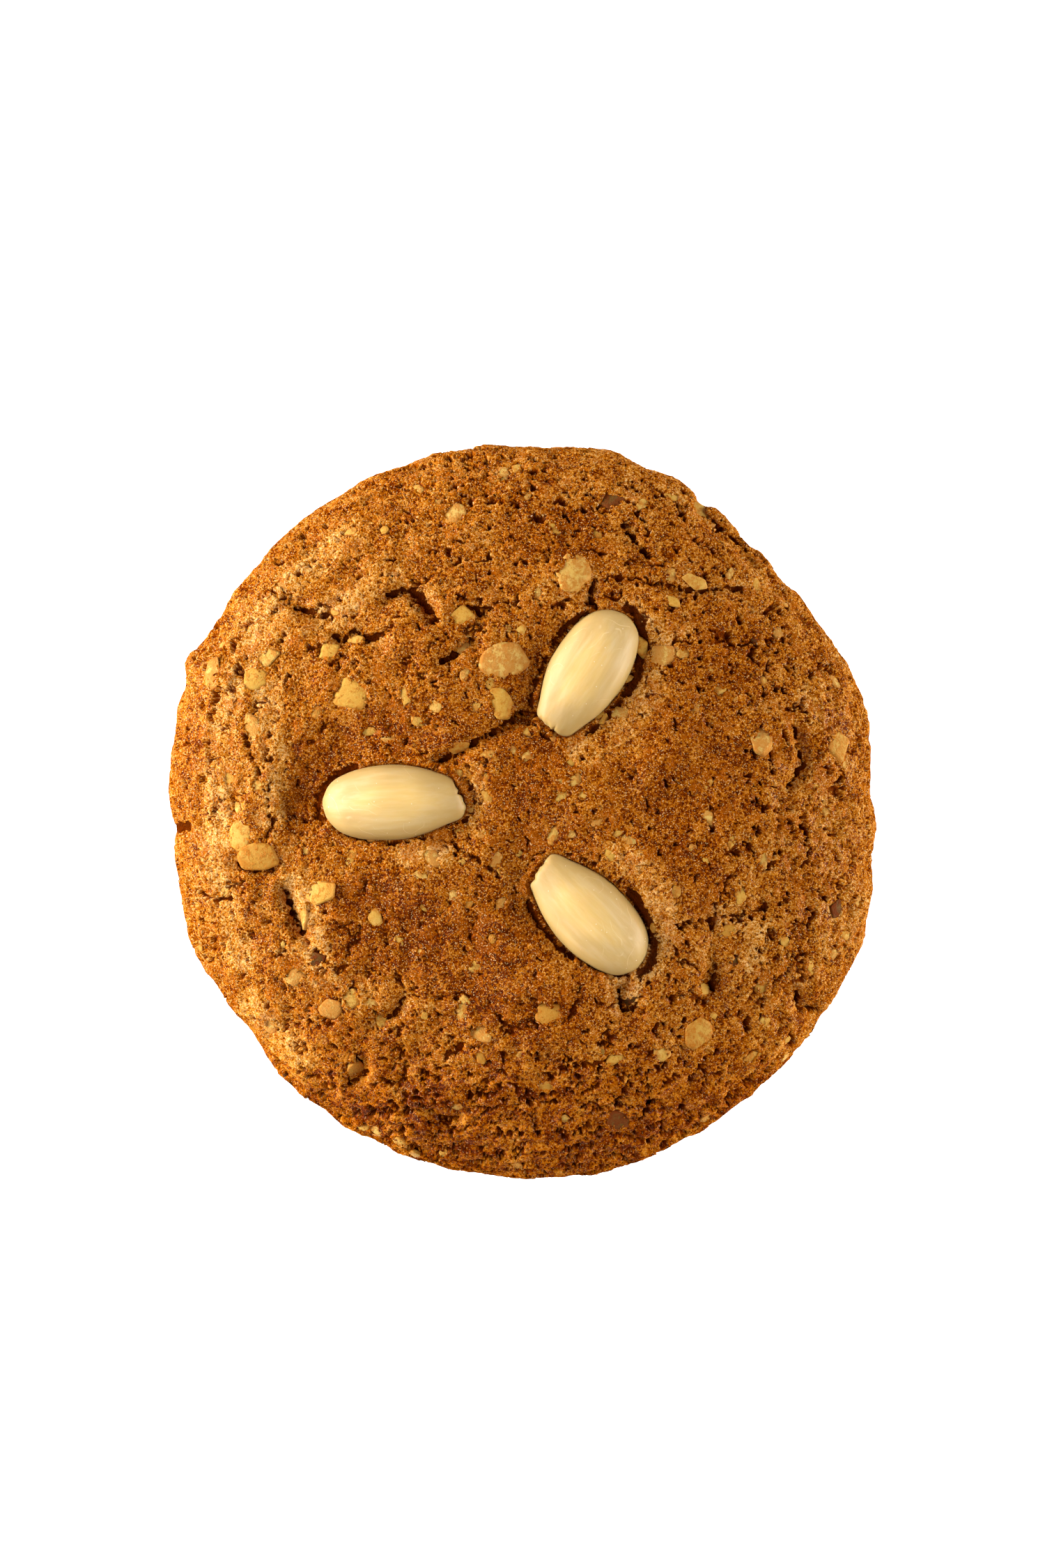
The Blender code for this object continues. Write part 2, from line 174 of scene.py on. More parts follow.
# Chopped nuts by kind: plan place (x, y), length and width in millimetres, turn in degrees.
PALE_NUTS = (
    (-2.7, 20.6, 4.7, 3.9, 10), (-23.2, 16.2, 4.3, 3.5, 20), (-3, 14.9, 3.4, 2.3, 105),
    (-8.1, 26.6, 2.8, 2.4, 0), (-34.7, 21.1, 3.1, 2.2, 15), (-36.2, 18.1, 2.7, 2.3, 60),
    (-42.2, 18.8, 3.2, 1.7, 85), (-36.7, 11.5, 3.6, 1.8, 118), (-26.2, 22, 2.4, 1.9, 35),
    (7, 32.6, 4.3, 3.4, 80), (19.1, 21.1, 2.8, 2.5, 30), (32.5, 10, 3, 2.1, 80),
    (-38.4, -3.1, 3.1, 2.5, 70), (-34.2, -29.3, 2, 1.6, 80), (-29.7, -13.6, 3.8, 1.1, 98),
    (-27.5, -11, 3.2, 2.4, 20), (-30.9, -22.4, 2.6, 1.9, 10), (-26, -26.7, 2.6, 2, 20),
    (24.4, 41.2, 2.4, 1.6, 150), (-22.6, 23.4, 1.8, 1.5, 0), (-11.7, 14.4, 1.8, 1.5, 90),
    (-15.8, 15.9, 2, 1.2, 95), (-9.1, 40.6, 2.6, 2.2, 70), (-2.5, 46, 2, 1.2, 95),
    (-33, 31, 2.2, 1.2, 130), (16.1, 22.4, 2.4, 1.4, 110), (13.2, 13.3, 1.7, 1.5, 20),
    (26.8, 16.7, 1.5, 1.3, 90), (34.7, 24.4, 1.6, 1.2, 80), (31.9, 31, 2, 1.2, 100),
    (23.7, 31.3, 2.6, 1.4, 160), (-23.2, -25.4, 2.4, 1.8, 60), (-19.1, -28.2, 2, 1.4, 100),
    (-8, -26.4, 2.8, 1.8, 80), (-5.7, -30, 2.4, 1.8, 150), (-12.2, -6, 2.2, 1.5, 120),
    (-9.3, -11.1, 1.4, 1.1, 70), (19.1, -32.9, 2, 1.8, 40), (29.6, -11.3, 2, 1.4, 75),
    (32.7, -6.4, 2, 1, 100), (14.5, -3.7, 2, 1.2, 160), (4.2, -3.1, 2.4, 1.2, 80),
    (24.7, -23.9, 1.5, 1.3, 0), (32.5, -23.9, 1.5, 1.3, 40), (11.9, -22.4, 1.8, 1, 170),
    (10.2, -1.3, 1.4, 1, 30),
)
AMBER_NUTS = (
    (-36, -6, 3.9, 3, 0), (43, 9, 3.3, 2.7, 100), (24, -30, 3.5, 2.7, 65),
    (3.4, -27.4, 2.6, 2.3, 30), (-22.6, -34.9, 1.8, 1.6, 10), (3.2, -37.2, 1.6, 1.2, 0),
    (28, -16, 2.4, 1.4, 20), (-8.6, 8.6, 2, 1.6, 20), (31.4, -33.3, 2.4, 1.2, 10),
)
DARK_PEEL = (
    (-27.8, -20.1, 2.2, 1.8, 30), (43, -13.2, 2, 1.7, 60), (13.2, -42.1, 2.8, 2.3, 20),
    (12.2, 42.1, 2.5, 2, 10), (31.6, 23.4, 0.8, 0.6, 0), (14.6, -25.6, 1.8, 0.9, 30),
    (36.3, -4.4, 0.9, 0.8, 0), (28.9, -20.3, 1.3, 1, 50), (-30.2, 7.4, 0.8, 0.6, 20),
)

# Almonds: plan place, turn of the tip in degrees, half length and half width in millimetres.
ALMOND_PLANS = {
    "almond_back": ((8.6, 18.8), 238, 9.8, 5.25),
    "almond_left": ((-17, 1.4), 3, 10.15, 5.2),
    "almond_front": ((8.8, -13.6), 135, 10.2, 5.35),
}

# Open gaps between crust and almond: from and to in degrees round from the tip, half width in millimetres.
SEAT_GAPS = {
    "almond_back": ((50, 95, 0.45), (95, 180, 0.8), (225, 262, 0.55), (275, 320, 0.35), (335, 372, 0.25)),
    "almond_left": ((120, 200, 0.6), (-32, 28, 0.35), (215, 300, 0.2)),
    "almond_front": ((172, 258, 0.75), (270, 320, 0.25), (52, 105, 0.45), (120, 165, 0.2), (-25, 20, 0.22)),
}

# Broken tips, seen from above, in millimetres: places across the almond, and how far the tip is set back.
BROKEN_TIPS = {
    "almond_back": ((-2.8, 1.25), (0.1, 0.55), (0.3, 0.85), (0.55, 0.42), (2, 0)),
    "almond_left": ((-2.4, 0.35), (-1.2, 0), (-0.3, 0.7), (0.5, 0.95), (0.65, 1.55), (1.2, 1.45), (2.6, 2.3)),
    "almond_front": ((-2.6, 0), (-1.3, 0.75), (-0.3, 1.05), (0.5, 1), (1.4, 1.25), (1.7, 1.6), (2.8, 1.9)),
}
TIP_LENGTH = 2.2

# The dough that fills an almond's seat: millimetres below the crust, and growth past the almond's sides.
FILLING_DEPTH = 0.4
FILLING_GROWTH = 1.09

# How far from a crack, an almond and a nut's seat the crust's distances are measured, in millimetres.
CRACK_REACH = 3.0
ALMOND_REACH = 3.0
NUT_REACH = 1.5

# Levels in millimetres: where rays down to the crust start, and below which no nut is set.
RAY_LEVEL = 60.0
LOWEST_NUT = 1.5

# Corners of the chips that nuts are copied from, amber nuts to strew, and the seeds of random draws.
CHIP_CORNERS = (4, 5, 6, 5, 4, 6, 5, 7)
AMBER_STREWN = 26
CHIP_SEED = 20
STREWING_SEED = 3

# The lights' height across, in metres.
SOFTBOX_HEIGHT = 0.32


# --- Settings that a user would change.


def length_setting(name, description, default):
    return FloatProperty(name=name, description=description, default=default, unit="LENGTH")


def power_setting(name, description, default):
    return FloatProperty(name=name, description=description, default=default, unit="POWER")


def colour_setting(name, surface, default):
    description = "Colour of " + surface
    return FloatVectorProperty(name=name, description=description, default=default, subtype="COLOR")


class CrustSettings(bpy.types.PropertyGroup):
    grid: length_setting("Grid", "Side of the crust's squares before they are divided", 0.32 * MM)
    triangles: IntProperty(name="Triangles", description="Triangles of the finished crust", default=194000)
    pore_depth: length_setting("Pore depth", "Depth of the widest pores", 0.95 * MM)
    # The singed_and_shaded colour is the darkest skin, and also painted shade in pores, slits, tears, cracks,
    # pinholes and the dips of the grain.
    singed_and_shaded: colour_setting("Singed_and_shaded", "the darkest skin, in the dips of its grain", (0.18, 0.023, 0.0002))
    browned: colour_setting("Browned", "the browned skin", (0.48, 0.125, 0.0018))
    golden: colour_setting("Golden", "the less browned skin", (0.70, 0.270, 0.026))
    crumb: colour_setting("Crumb", "the palest crumbs, where the skin is torn", (0.92, 0.52, 0.18))
    # The hollow colour is painted shade, put into the depths of pores, cracks and the gaps round the almonds.
    hollow: colour_setting("Hollow", "the depths of pores and cracks", (0.085, 0.012, 0.0003))


class AlmondSettings(bpy.types.PropertyGroup):
    heart: colour_setting("Heart", "the middle of an almond", (0.82, 0.55, 0.180))
    rim: colour_setting("Rim", "an almond near its edge", (0.68, 0.455, 0.170))
    furrow_depth: length_setting("Furrow depth", "Depth of the furrows along an almond", 0.06 * MM)


class NutSettings(bpy.types.PropertyGroup):
    pale: colour_setting("Pale", "chopped almond", (0.60, 0.32, 0.050))
    amber: colour_setting("Amber", "nuts soaked in honey, and candied peel", (0.50, 0.23, 0.030))
    peel: colour_setting("Peel", "the dark peel", (0.040, 0.016, 0.002))
    scattered: IntProperty(
        name="Scattered",
        description="Small pale nuts strewn over the crust beside the larger ones",
        default=125,
    )
    proud: length_setting("Proud", "Height of a nut's top above the dough, below 0 if sunk", -0.05 * MM)


class StageSettings(bpy.types.PropertyGroup):
    distance: length_setting("Camera distance", "From the camera to the lebkuchen's widest level", 1.2)
    key_power: power_setting("Key light", "Power of the light at the upper left", 9.3)
    top_power: power_setting("Top light", "Power of the light high at the left", 1.5)
    fill_power: power_setting("Fill light", "Power of the light at the right", 4.4)
    surround: FloatProperty(name="Surround", description="Brightness of the pale room", default=0.04)


# --- Node trees written as Python sums.


def arithmetic(operation):
    """The plain and the reflected method that add a node of that operation."""

    def plain(socket, other):
        return socket.tree.maths(operation, socket, other)

    def reflected(socket, other):
        return socket.tree.maths(operation, other, socket)

    return plain, reflected


class Socket:
    """A node's output. Python's arithmetic on it adds Math nodes, or Vector Math nodes for vectors."""

    def __init__(self, tree, source):
        self.tree = tree
        self.source = source

    __add__, __radd__ = arithmetic("ADD")
    __sub__, __rsub__ = arithmetic("SUBTRACT")
    __mul__, __rmul__ = arithmetic("MULTIPLY")
    __truediv__, __rtruediv__ = arithmetic("DIVIDE")


def fill_ramp(elements, stops):
    while len(elements) < len(stops):
        elements.new(1.0)
    for element, (position, colour) in zip(elements, stops):
        element.position = position
        element.color = (*colour, 1.0)


class Tree:
    """A shader's or a modifier's node tree, and the nodes that the lebkuchen's patterns need."""

    def __init__(self, target):
        self.target = target
        self.shader = target.nodes.get("Principled BSDF")

    def node(self, kind, settings=None, sockets=None, output=0):
        """Adds a node: its settings first, then the values or links of its sockets."""
        made = self.target.nodes.new(kind)
        for name, value in (settings or {}).items():
            if name == "stops":
                fill_ramp(made.color_ramp.elements, value)
            else:
                setattr(made, name, value)
        for key, value in (sockets or {}).items():
            if isinstance(value, Socket):
                self.target.links.new(value.source, made.inputs[key])
            else:
                made.inputs[key].default_value = value
        if isinstance(output, tuple):
            return tuple(Socket(self, made.outputs[index]) for index in output)
        return Socket(self, made.outputs[output]) if made.outputs else None

    def maths(self, operation, first, second):
        pair = (first, second)
        if any(isinstance(one, Socket) and one.source.type in ("VECTOR", "RGBA") for one in pair):
            pair = ((one,) * 3 if isinstance(one, (int, float)) else one for one in pair)
            return self.vectors(operation, *pair)
        return self.node("ShaderNodeMath", {"operation": operation}, dict(enumerate(pair)))

    def vectors(self, operation, *values, output=0):
        return self.node("ShaderNodeVectorMath", {"operation": operation}, dict(enumerate(values)), output)

    def larger(self, first, second):
        return self.maths("MAXIMUM", first, second)

    def smaller(self, first, second):
        return self.maths("MINIMUM", first, second)

    def step(self, value, low, high):
        """0 below low and 1 above high, with a soft slope between."""
        settings = {"interpolation_type": "SMOOTHSTEP"}
        return self.node("ShaderNodeMapRange", settings, {0: value, 1: low, 2: high})

    def root(self, value):
        """The square root, and 0 of what is below 0."""
        return self.node("ShaderNodeMath", {"operation": "SQRT"}, {0: self.larger(value, 0.0)})

    def dot(self, first, second):
        return self.vectors("DOT_PRODUCT", first, second, output=1)

    def round_the_middle(self, place):
        """The level direction that runs round the origin at a place, one unit long."""
        return self.vectors("NORMALIZE", self.vectors("CROSS_PRODUCT", place, (0.0, 0.0, 1.0)))

    def split(self, vector):
        return self.node("ShaderNodeSeparateXYZ", None, {0: vector}, (0, 1, 2))

    def blend(self, share, first, second):
        """A colour between two, by share."""
        first, second = ((*one, 1.0) if isinstance(one, tuple) else one for one in (first, second))
        return self.node("ShaderNodeMix", {"data_type": "RGBA"}, {0: share, 6: first, 7: second}, 2)

    def ramp(self, value, *stops):
        """A colour between stops, each a position from 0 to 1 and a colour."""
        return self.node("ShaderNodeValToRGB", {"stops": stops}, {0: value})

    def noise(self, place, size, detail=2.0, roughness=0.5, coloured=False):
        """Soft noise from 0 to 1 about 0.5, with swells of that size in millimetres."""
        sockets = {"Vector": place, "Scale": 1 / size, "Detail": detail, "Roughness": roughness}
        return self.node("ShaderNodeTexNoise", None, sockets, 1 if coloured else 0)

    def cells(self, place, size, feature="F1", output=0):
        """Distance within the irregular cells of that size, or another output of theirs."""
        sockets = {"Vector": place, "Scale": 1 / size}
        return self.node("ShaderNodeTexVoronoi", {"feature": feature}, sockets, output)

    def bump(self, strength, height):
        """The skin's normal, tilted as if it had that height in millimetres."""
        sockets = {"Strength": strength, "Distance": MM, "Height": height}
        return self.node("ShaderNodeBump", None, sockets)

    def wire(self, **sockets):
        """Links the shader's sockets to what changes over the surface."""
        for name, value in sockets.items():
            self.target.links.new(value.source, self.shader.inputs[name.replace("_", " ")])

    def attribute(self, name, vector=False):
        """What was stored on a mesh's vertices under that name."""
        if self.target.bl_idname == "GeometryNodeTree":
            kind = "FLOAT_VECTOR" if vector else "FLOAT"
            return self.node("GeometryNodeInputNamedAttribute", {"data_type": kind}, {0: name})
        return self.node("ShaderNodeAttribute", {"attribute_name": name}, None, 1 if vector else 2)


# --- Helpers for objects.


def choose(*objects):
    """Selects only these objects, and makes the first one active."""
    for other in bpy.context.view_layer.objects:
        other.select_set(False)
    for one in objects:
        one.select_set(True)
    bpy.context.view_layer.objects.active = objects[0]


def finish(piece, kind, **settings):
    """Adds a modifier with its settings, and applies it."""
    choose(piece)
    modifier = piece.modifiers.new(kind.title(), kind)
    for name, value in settings.items():
        setattr(modifier, name, value)
    bpy.ops.object.modifier_apply(modifier=modifier.name)


@contextmanager
def edit_mode(piece, chosen=None):
    """Edit mode for the lines inside it, with all of a piece selected, or only the chosen faces."""
    choose(piece)
    bpy.ops.object.mode_set(mode="EDIT")
    bpy.ops.mesh.select_all(action="SELECT" if chosen is None else "DESELECT")
    if chosen is not None:
        bpy.ops.object.mode_set(mode="OBJECT")
        piece.data.polygons.foreach_set("select", chosen)
        bpy.ops.object.mode_set(mode="EDIT")
    yield
    bpy.ops.object.mode_set(mode="OBJECT")


def link(name, mesh):
    """A new object of the scene with that mesh."""
    made = bpy.data.objects.new(name, mesh)
    bpy.context.scene.collection.objects.link(made)
    return made


def solid_copy(node, name):
    """A piece that starts as a copy of a solid, with its loose triangles joined."""
    piece = link(name, frame["nodes"][node].data.copy())
    piece.data.materials.clear()
    finish(piece, "WELD", merge_threshold=1e-6)
    return piece


def rows_of(collection, key):
    """A vector of each vertex or face, as rows of an array."""
    flat = np.empty(len(collection) * 3, np.float32)
    collection.foreach_get(key, flat)
    return flat.reshape(-1, 3)


def places_of(piece):
    """The places of a mesh's vertices in millimetres."""
    return rows_of(piece.data.vertices, "co") / MM


def place_at(piece, places):
    """Moves a mesh's vertices to places in millimetres."""
    piece.data.vertices.foreach_set("co", (places * MM).ravel())


def store(piece, name, values):
    """Keeps a number or a vector for each vertex."""
    kind, key = ("FLOAT_VECTOR", "vector") if values.ndim == 2 else ("FLOAT", "value")
    attribute = piece.data.attributes.new(name, kind, "POINT")
    attribute.data.foreach_set(key, values.astype(np.float32).ravel())


def relief(name, height_of):
    """Geometry nodes that raise a skin along its normals, by a height in metres."""
    group = bpy.data.node_groups.new(name, "GeometryNodeTree")
    for way in ("INPUT", "OUTPUT"):
        group.interface.new_socket("Geometry", in_out=way, socket_type="NodeSocketGeometry")
    t = Tree(group)
    offset = t.node("GeometryNodeInputNormal") * height_of(t)
    source = t.node("NodeGroupInput")
    moved = t.node("GeometryNodeSetPosition", None, {"Geometry": source, "Offset": offset})
    t.node("NodeGroupOutput", None, {0: moved})
    return group


def new_material(name, **constants):
    """A material with a Principled BSDF that has these constants, and its tree."""
    material = bpy.data.materials.new(name)
    material.use_nodes = True
    tree = Tree(material.node_tree)
    for socket, value in constants.items():
        tree.shader.inputs[socket.replace("_", " ")].default_value = value
    return material, tree


def ready(piece, material, slot, *replaced):
    """Gives a finished piece its material and its body, and hides the solids that it replaces. The slot is
    not used.
    """
    piece.data.materials.clear()
    piece.data.materials.append(material)
    choose(piece)
    bpy.ops.object.shade_smooth()
    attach(piece, "root")
    if replaced:
        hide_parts(*replaced)


def tree_of(piece):
    """A piece's faces, ready for rays and for the nearest place on them."""
    return BVHTree.FromObject(piece, bpy.context.evaluated_depsgraph_get())


def away_from(places, neighbour, reach):
    """Distance in millimetres from each place to a closed mesh, negative inside and at most reach."""
    found = np.full(len(places), reach, np.float32)
    nearest = tree_of(neighbour).find_nearest
    for index, place in enumerate((places * MM).tolist()):
        spot, normal, _, away = nearest(place, reach * MM)
        if spot is not None:
            inside = (Vector(place) - spot).dot(normal) < 0
            found[index] = -away / MM if inside else away / MM
    return found


# --- Patterns that the crust's relief and its colours share. All take a place in millimetres.


def shoulder(t, place):
    """0 in the middle of the top, 1 from the shoulder outwards."""
    x, y, _ = t.split(place)
    return t.step(x * x + y * y, 12**2, 34**2)


def above_floor(t, place):
    """0 on the flat underside, 1 from the foot of the rim upwards."""
    _, _, level = t.split(place)
    return t.step(level, 0.1, 1.2)


def front_of_rim(t, place):
    """1 at the front of the rim, where the skin is glossy and the crust's colour is darkened, partly as
    painted shade, 0 elsewhere.
    """
    _, north, _ = t.split(place)
    return t.step(north, -22, -44) * above_floor(t, place)


def east(t, place):
    """0 at the left of the crust, where its pores are few and small, 1 from the middle to the right."""
    x, _, _ = t.split(place)
    return t.step(x, -34, -6)


def patches(t, place):
    """The noise that parts smooth skin from broken skin."""
    return t.noise(place + 5, 2.6, 3, 0.65)


def crumbly(t, place):
    """0 on smooth browned skin, 1 where the skin is broken to crumb."""
    drift = (patches(t, place) - 0.5) * 4.2
    return t.step(drift + t.attribute("worn") * 0.7 + shoulder(t, place) * 0.45, -0.05, 0.75)


def pores(t, place, cell, widest, soft, share_middle, share_rim, stretch=1):
    """1 at the bottom of a pore, 0 on the crust. One cell in so many has a pore, of its own width.

    The widest pores are drawn out along the rim.
    """
    uneven = t.noise(place, cell * 0.5, 2, coloured=True)
    bent = place + (uneven - 0.5) * (cell * 1.3)
    chance, spot = t.cells(bent, cell, output=(1, 2))
    size, luck, _ = t.split(chance)
    off = bent - spot
    along = t.dot(off, t.round_the_middle(place))
    away = t.root(t.dot(off, off) - along * along * (1 - 1 / stretch**2))
    patchy = t.noise(place, 5.5, 1)
    share = (share_middle + (share_rim - share_middle) * shoulder(t, place)) * (0.35 + 1.3 * patchy)
    share = share * (0.3 + 0.7 * above_floor(t, place))
    radius = widest * (0.45 + 0.55 * size)
    return t.step(radius - away, 0, soft) * t.step(share - luck, 0, 0.05)


def along_rim(t, place):
    """The place, drawn together round the middle, so that patterns come out stretched along the rim."""
    x, y, z = t.split(place)
    reach = t.root(x * x + y * y)
    ring = t.larger(reach, 22)
    return t.node("ShaderNodeCombineXYZ", None, {0: x / ring * 22, 1: y / ring * 22, 2: reach - z})


def foam(t, place):
    """0 in the middle of a bubble of the crumb, 1 on the walls between bubbles."""
    uneven = t.noise(place, 0.5, 2, coloured=True)
    return t.step(t.cells(place + (uneven - 0.5) * 0.9, 0.50), 0.12, 0.58)


def wide_pores(t, place):
    """Round to oval pores, wider at the front and on the right."""
    at_front, open_side = front_of_rim(t, place), t.larger(front_of_rim(t, place), east(t, place))
    widest = 0.24 + 0.08 * open_side + 0.14 * at_front
    return pores(t, place, 1.10, widest, 0.12, 0.10, 0.45 + 0.30 * at_front, stretch=1.9)


def slits(t, place):
    """Few, long and deep pores, most of them towards the rim."""
    open_side = t.larger(front_of_rim(t, place), east(t, place))
    widest = 0.26 + 0.12 * open_side + 0.20 * front_of_rim(t, place)
    return pores(t, place + 53, 2.2, widest, 0.12, 0.12, 0.50 + 0.45 * open_side, stretch=2.2)


def fine_pores(t, place):
    """Small pores all over, closest together on the rim."""
    return pores(t, place + 37, 0.62, 0.21, 0.09, 0.40, 0.85, stretch=1.6)


def pinholes(t, place):
    """The smallest holes, too fine to be cut into the mesh, shown only by painted shade and a dent in the
    bump.
    """
    return pores(t, place + 71, 0.42, 0.15, 0.06, 0.45, 0.85)


def tears(t, place):
    """Short ragged rips between the lumps of the crust, drawn out along the rim."""
    uneven = t.noise(place, 1.1, 3, coloured=True)
    away = t.cells(along_rim(t, place) + (uneven - 0.5) * 3, 4.2, "DISTANCE_TO_EDGE") * 4.2
    broken = t.step(t.noise(place + 11, 2.2, 2), 0.54, 0.62)
    width = (0.24 + 0.12 * east(t, place)) * broken * (0.2 + 0.8 * shoulder(t, place))
    return t.step(width - away, 0, 0.14)


def cracks(t, place):
    """1 inside a crack, with ragged sides and crumbs that bridge it."""
    ragged = (t.noise(place, 0.9, 4, 0.65) - 0.5) * 2.3
    return t.step(ragged - t.attribute("crack"), 0, 0.20)


def nut_cover(t, place):
    """1 where the crust creeps over the edges of a nut, 0 where the nut is bare."""
    creeping = (t.noise(place + 23, 0.9, 4, 0.65) - 0.5) * 3.6
    return t.step(t.attribute("nut") + creeping, -0.15, 0.03)


# --- The crust.


def gap_routes():
    """The gaps round the almonds, in the way that the cracks are given."""
    for almond, gaps in SEAT_GAPS.items():
        (x, y), turn, half_length, half_width = ALMOND_PLANS[almond]
        cos, sin = math.cos(math.radians(turn)), math.sin(math.radians(turn))
        for start, end, gap in gaps:
            route = []
            for angle in np.radians(np.linspace(start, end, 8)):
                along = (half_length + 0.1 + gap) * math.cos(angle)
                across = (half_width + 0.1 + gap) * math.sin(angle)
                route.append((x + along * cos - across * sin, y + along * sin + across * cos))
            yield 1.1, gap, route


def off_route(places, route):
    """Distance seen from above, from each place to a route of plan places."""
    away = np.full(len(places), 99.0)
    for start, end in zip(np.array(route), np.array(route[1:])):
        along = end - start
        share = np.clip((places[:, :2] - start) @ along / (along @ along), 0, 1)
        off = np.linalg.norm(places[:, :2] - start - share[:, None] * along, axis=1)
        away = np.minimum(away, off)
    return away


def soft_share(values):
    """Values held between 0 and 1, with soft ends."""
    values = np.clip(values, 0, 1)
    return values * values * (3 - 2 * values)


def swell_field(places):
    """Height of the broad swells at each place."""
    height = np.zeros(len(places))
    for rise, half_width, route in SWELLS:
        height += rise * soft_share(1 - off_route(places, route) / (2 * half_width))
    return height * soft_share((places[:, 2] - 4) / 4)


def wear_and_light_field(places):
    """1 on pale crumb, partly painted light, -1 on smooth skin, partly painted shade, and 0 elsewhere, with
    soft borders.
    """
    worn = np.zeros(len(places))
    for sign, zones in ((1, PALE_CRUMB_AND_LIGHT), (-1, SMOOTH_SKIN_AND_SHADE)):
        for half_width, route in zones:
            share = soft_share(1.5 - off_route(places, route) / half_width)
            worn = np.where(share > np.abs(worn), sign * share, worn)
    return worn * soft_share((places[:, 2] - 0.3) / 1.5)


def crack_field(places):
    """Distance past the nearest crack's edge, and that crack's depth, in millimetres."""
    nearest = np.full(len(places), CRACK_REACH)
    depths = np.zeros(len(places))
    for depth, half_width, route in (*CRACKS, *gap_routes()):
        away = off_route(places, route) - half_width
        depths = np.where(away < nearest, depth, depths)
        nearest = np.minimum(nearest, away)
    nearest[places[:, 2] < 1] = CRACK_REACH
    return nearest, depths


def crust_height(t, settings):
    """Height of the crust's relief in metres: lumps and crumb, less pores, tears, cracks and seats."""
    place = t.attribute("skin", vector=True)
    _, _, level = t.split(place)
    above_foot = t.step(level, 0.2, 2.2)
    loose = crumbly(t, place)
    lumps = (t.noise(along_rim(t, place), 2.4, 2) - 0.5) * (0.5 + 0.9 * shoulder(t, place))
    lumps = lumps + (t.noise(place, 0.9, 3, 0.65) - 0.5) * (0.3 + 0.4 * loose)
    deeper = (1 + 0.35 * front_of_rim(t, place)) * (settings.pore_depth / MM)
    holes = wide_pores(t, place) * deeper + fine_pores(t, place) * 0.4
    holes = t.larger(holes, slits(t, place) * 1.1)
    rips = tears(t, place) * 0.9
    gashes = cracks(t, place) * t.attribute("crack_depth") * 0.7
    almond = t.attribute("almond")
    swelling = t.step(almond, 1.6, 0.3) * (t.noise(place, 1.3, 3, 0.6) * 2.6 - 0.8)
    swelling = t.smaller(swelling, t.larger(almond - 0.04, 0))
    seat = 0.06 - (1 - nut_cover(t, place)) * 0.50
    seat = seat * t.step(t.attribute("nut"), 1, 0.4)
    return (lumps * above_foot - t.larger(t.larger(holes, rips), gashes) + seat + swelling) * MM


def crust_material(settings):
    """Browned skin with golden mottles, dark pores and pale crumb where it is torn. The darkness of pores and
    cracks, the glints and some pale and dark zones are partly painted light and shade.
    """
    material, t = new_material("baked dough", Specular_IOR_Level=0, Coat_Roughness=0.2)
    place = t.attribute("skin", vector=True)
    names = ("hollow", "singed_and_shaded", "browned", "golden", "crumb")
    hollow, singed_and_shaded, brown, gold, crumb = (tuple(getattr(settings, name)) for name in names)
    loose, at_front = crumbly(t, place), front_of_rim(t, place)
    _, _, level = t.split(place)
    clouds = t.noise(place, 7, 2) - 0.5
    mottles = t.noise(place, 1.5, 3, 0.65) - 0.5
    # The grain and the foam's walls below also raise the bump; in the tone they lighten the crests and darken
    # the dips and the bubbles' middles: partly the crust's own tone, partly painted light and shade.
    grain = t.noise(place, 0.32, 3, 0.75) - 0.5
    walls = foam(t, place) - 0.6
    tone = 0.315 + loose * 0.15 + clouds * 0.45 + mottles * (0.8 + 0.1 * loose)
    # The front of the rim is darker: partly its own dark skin, partly painted shade.
    tone = tone + grain * (1.9 + 0.3 * loose - 1.2 * at_front) + walls * 0.30 - at_front * 0.13
    worn = t.attribute("worn")
    # Crumb near cracks is paler. The pale crumb zones are paler, partly as painted light, and the smooth skin
    # zones darker, partly as painted shade.
    torn = t.larger(worn * loose, t.step(t.attribute("crack"), 1.2, 0.1) * 0.4)
    tone = tone + torn * 0.18 + t.smaller(worn, 0) * 0.07
    colour = t.ramp(tone, (0, hollow), (0.20, singed_and_shaded), (0.45, brown), (0.70, gold), (1, crumb))
    russet = t.step(patches(t, place), 0.52, 0.63) * (1 - at_front)
    colour = t.blend(russet * 0.6, colour, (0.45, 0.098, 0.0015))
    sparks = t.noise(place + 3, 0.18, 1)
    # Painted highlights: pale glint spots in the colour, which also get more coat.
    glint = t.step(sparks, 0.61, 0.69) * (1 - 0.5 * at_front)
    colour = t.blend(t.step(sparks, 0.41, 0.33) * (0.4 - 0.3 * at_front), colour, singed_and_shaded)
    colour = t.blend(glint * 0.70, colour, (0.95, 0.61, 0.25))
    wide = t.larger(wide_pores(t, place), slits(t, place))
    pits = t.larger(wide, fine_pores(t, place))
    pits = t.larger(pits, t.larger(tears(t, place), cracks(t, place)))
    dots = pinholes(t, place)
    # Painted shade: the crust within 0.65 millimetres of an almond darkens towards the hollow colour.
    gap = t.step(t.attribute("almond"), 0.65, 0.25)
    # Painted shade in the holes: pores, slits, tears, cracks and pinholes take the singed_and_shaded colour.
    colour = t.blend(t.larger(pits * 0.85, dots * 0.75), colour, singed_and_shaded)
    # Painted shade in the depths of wide pores, slits, cracks and the gaps round the almonds, in the hollow
    # colour.
    deep = t.larger(wide * (0.45 + 0.5 * at_front), cracks(t, place) * 0.8)
    colour = t.blend(t.larger(deep, gap * 0.25), colour, hollow)
    rough = 0.62 + 0.25 * pits
    heights = grain * (0.44 - 0.18 * at_front) + walls * 0.10 - dots * 0.12 + mottles * 0.2
    shine = (0.03 + glint * 0.30 + at_front * 0.09) * (1 - pits) * t.step(level, 6, 12)
    t.wire(Base_Color=colour, Roughness=rough, Coat_Weight=shine, Normal=t.bump(1, heights))
    return material


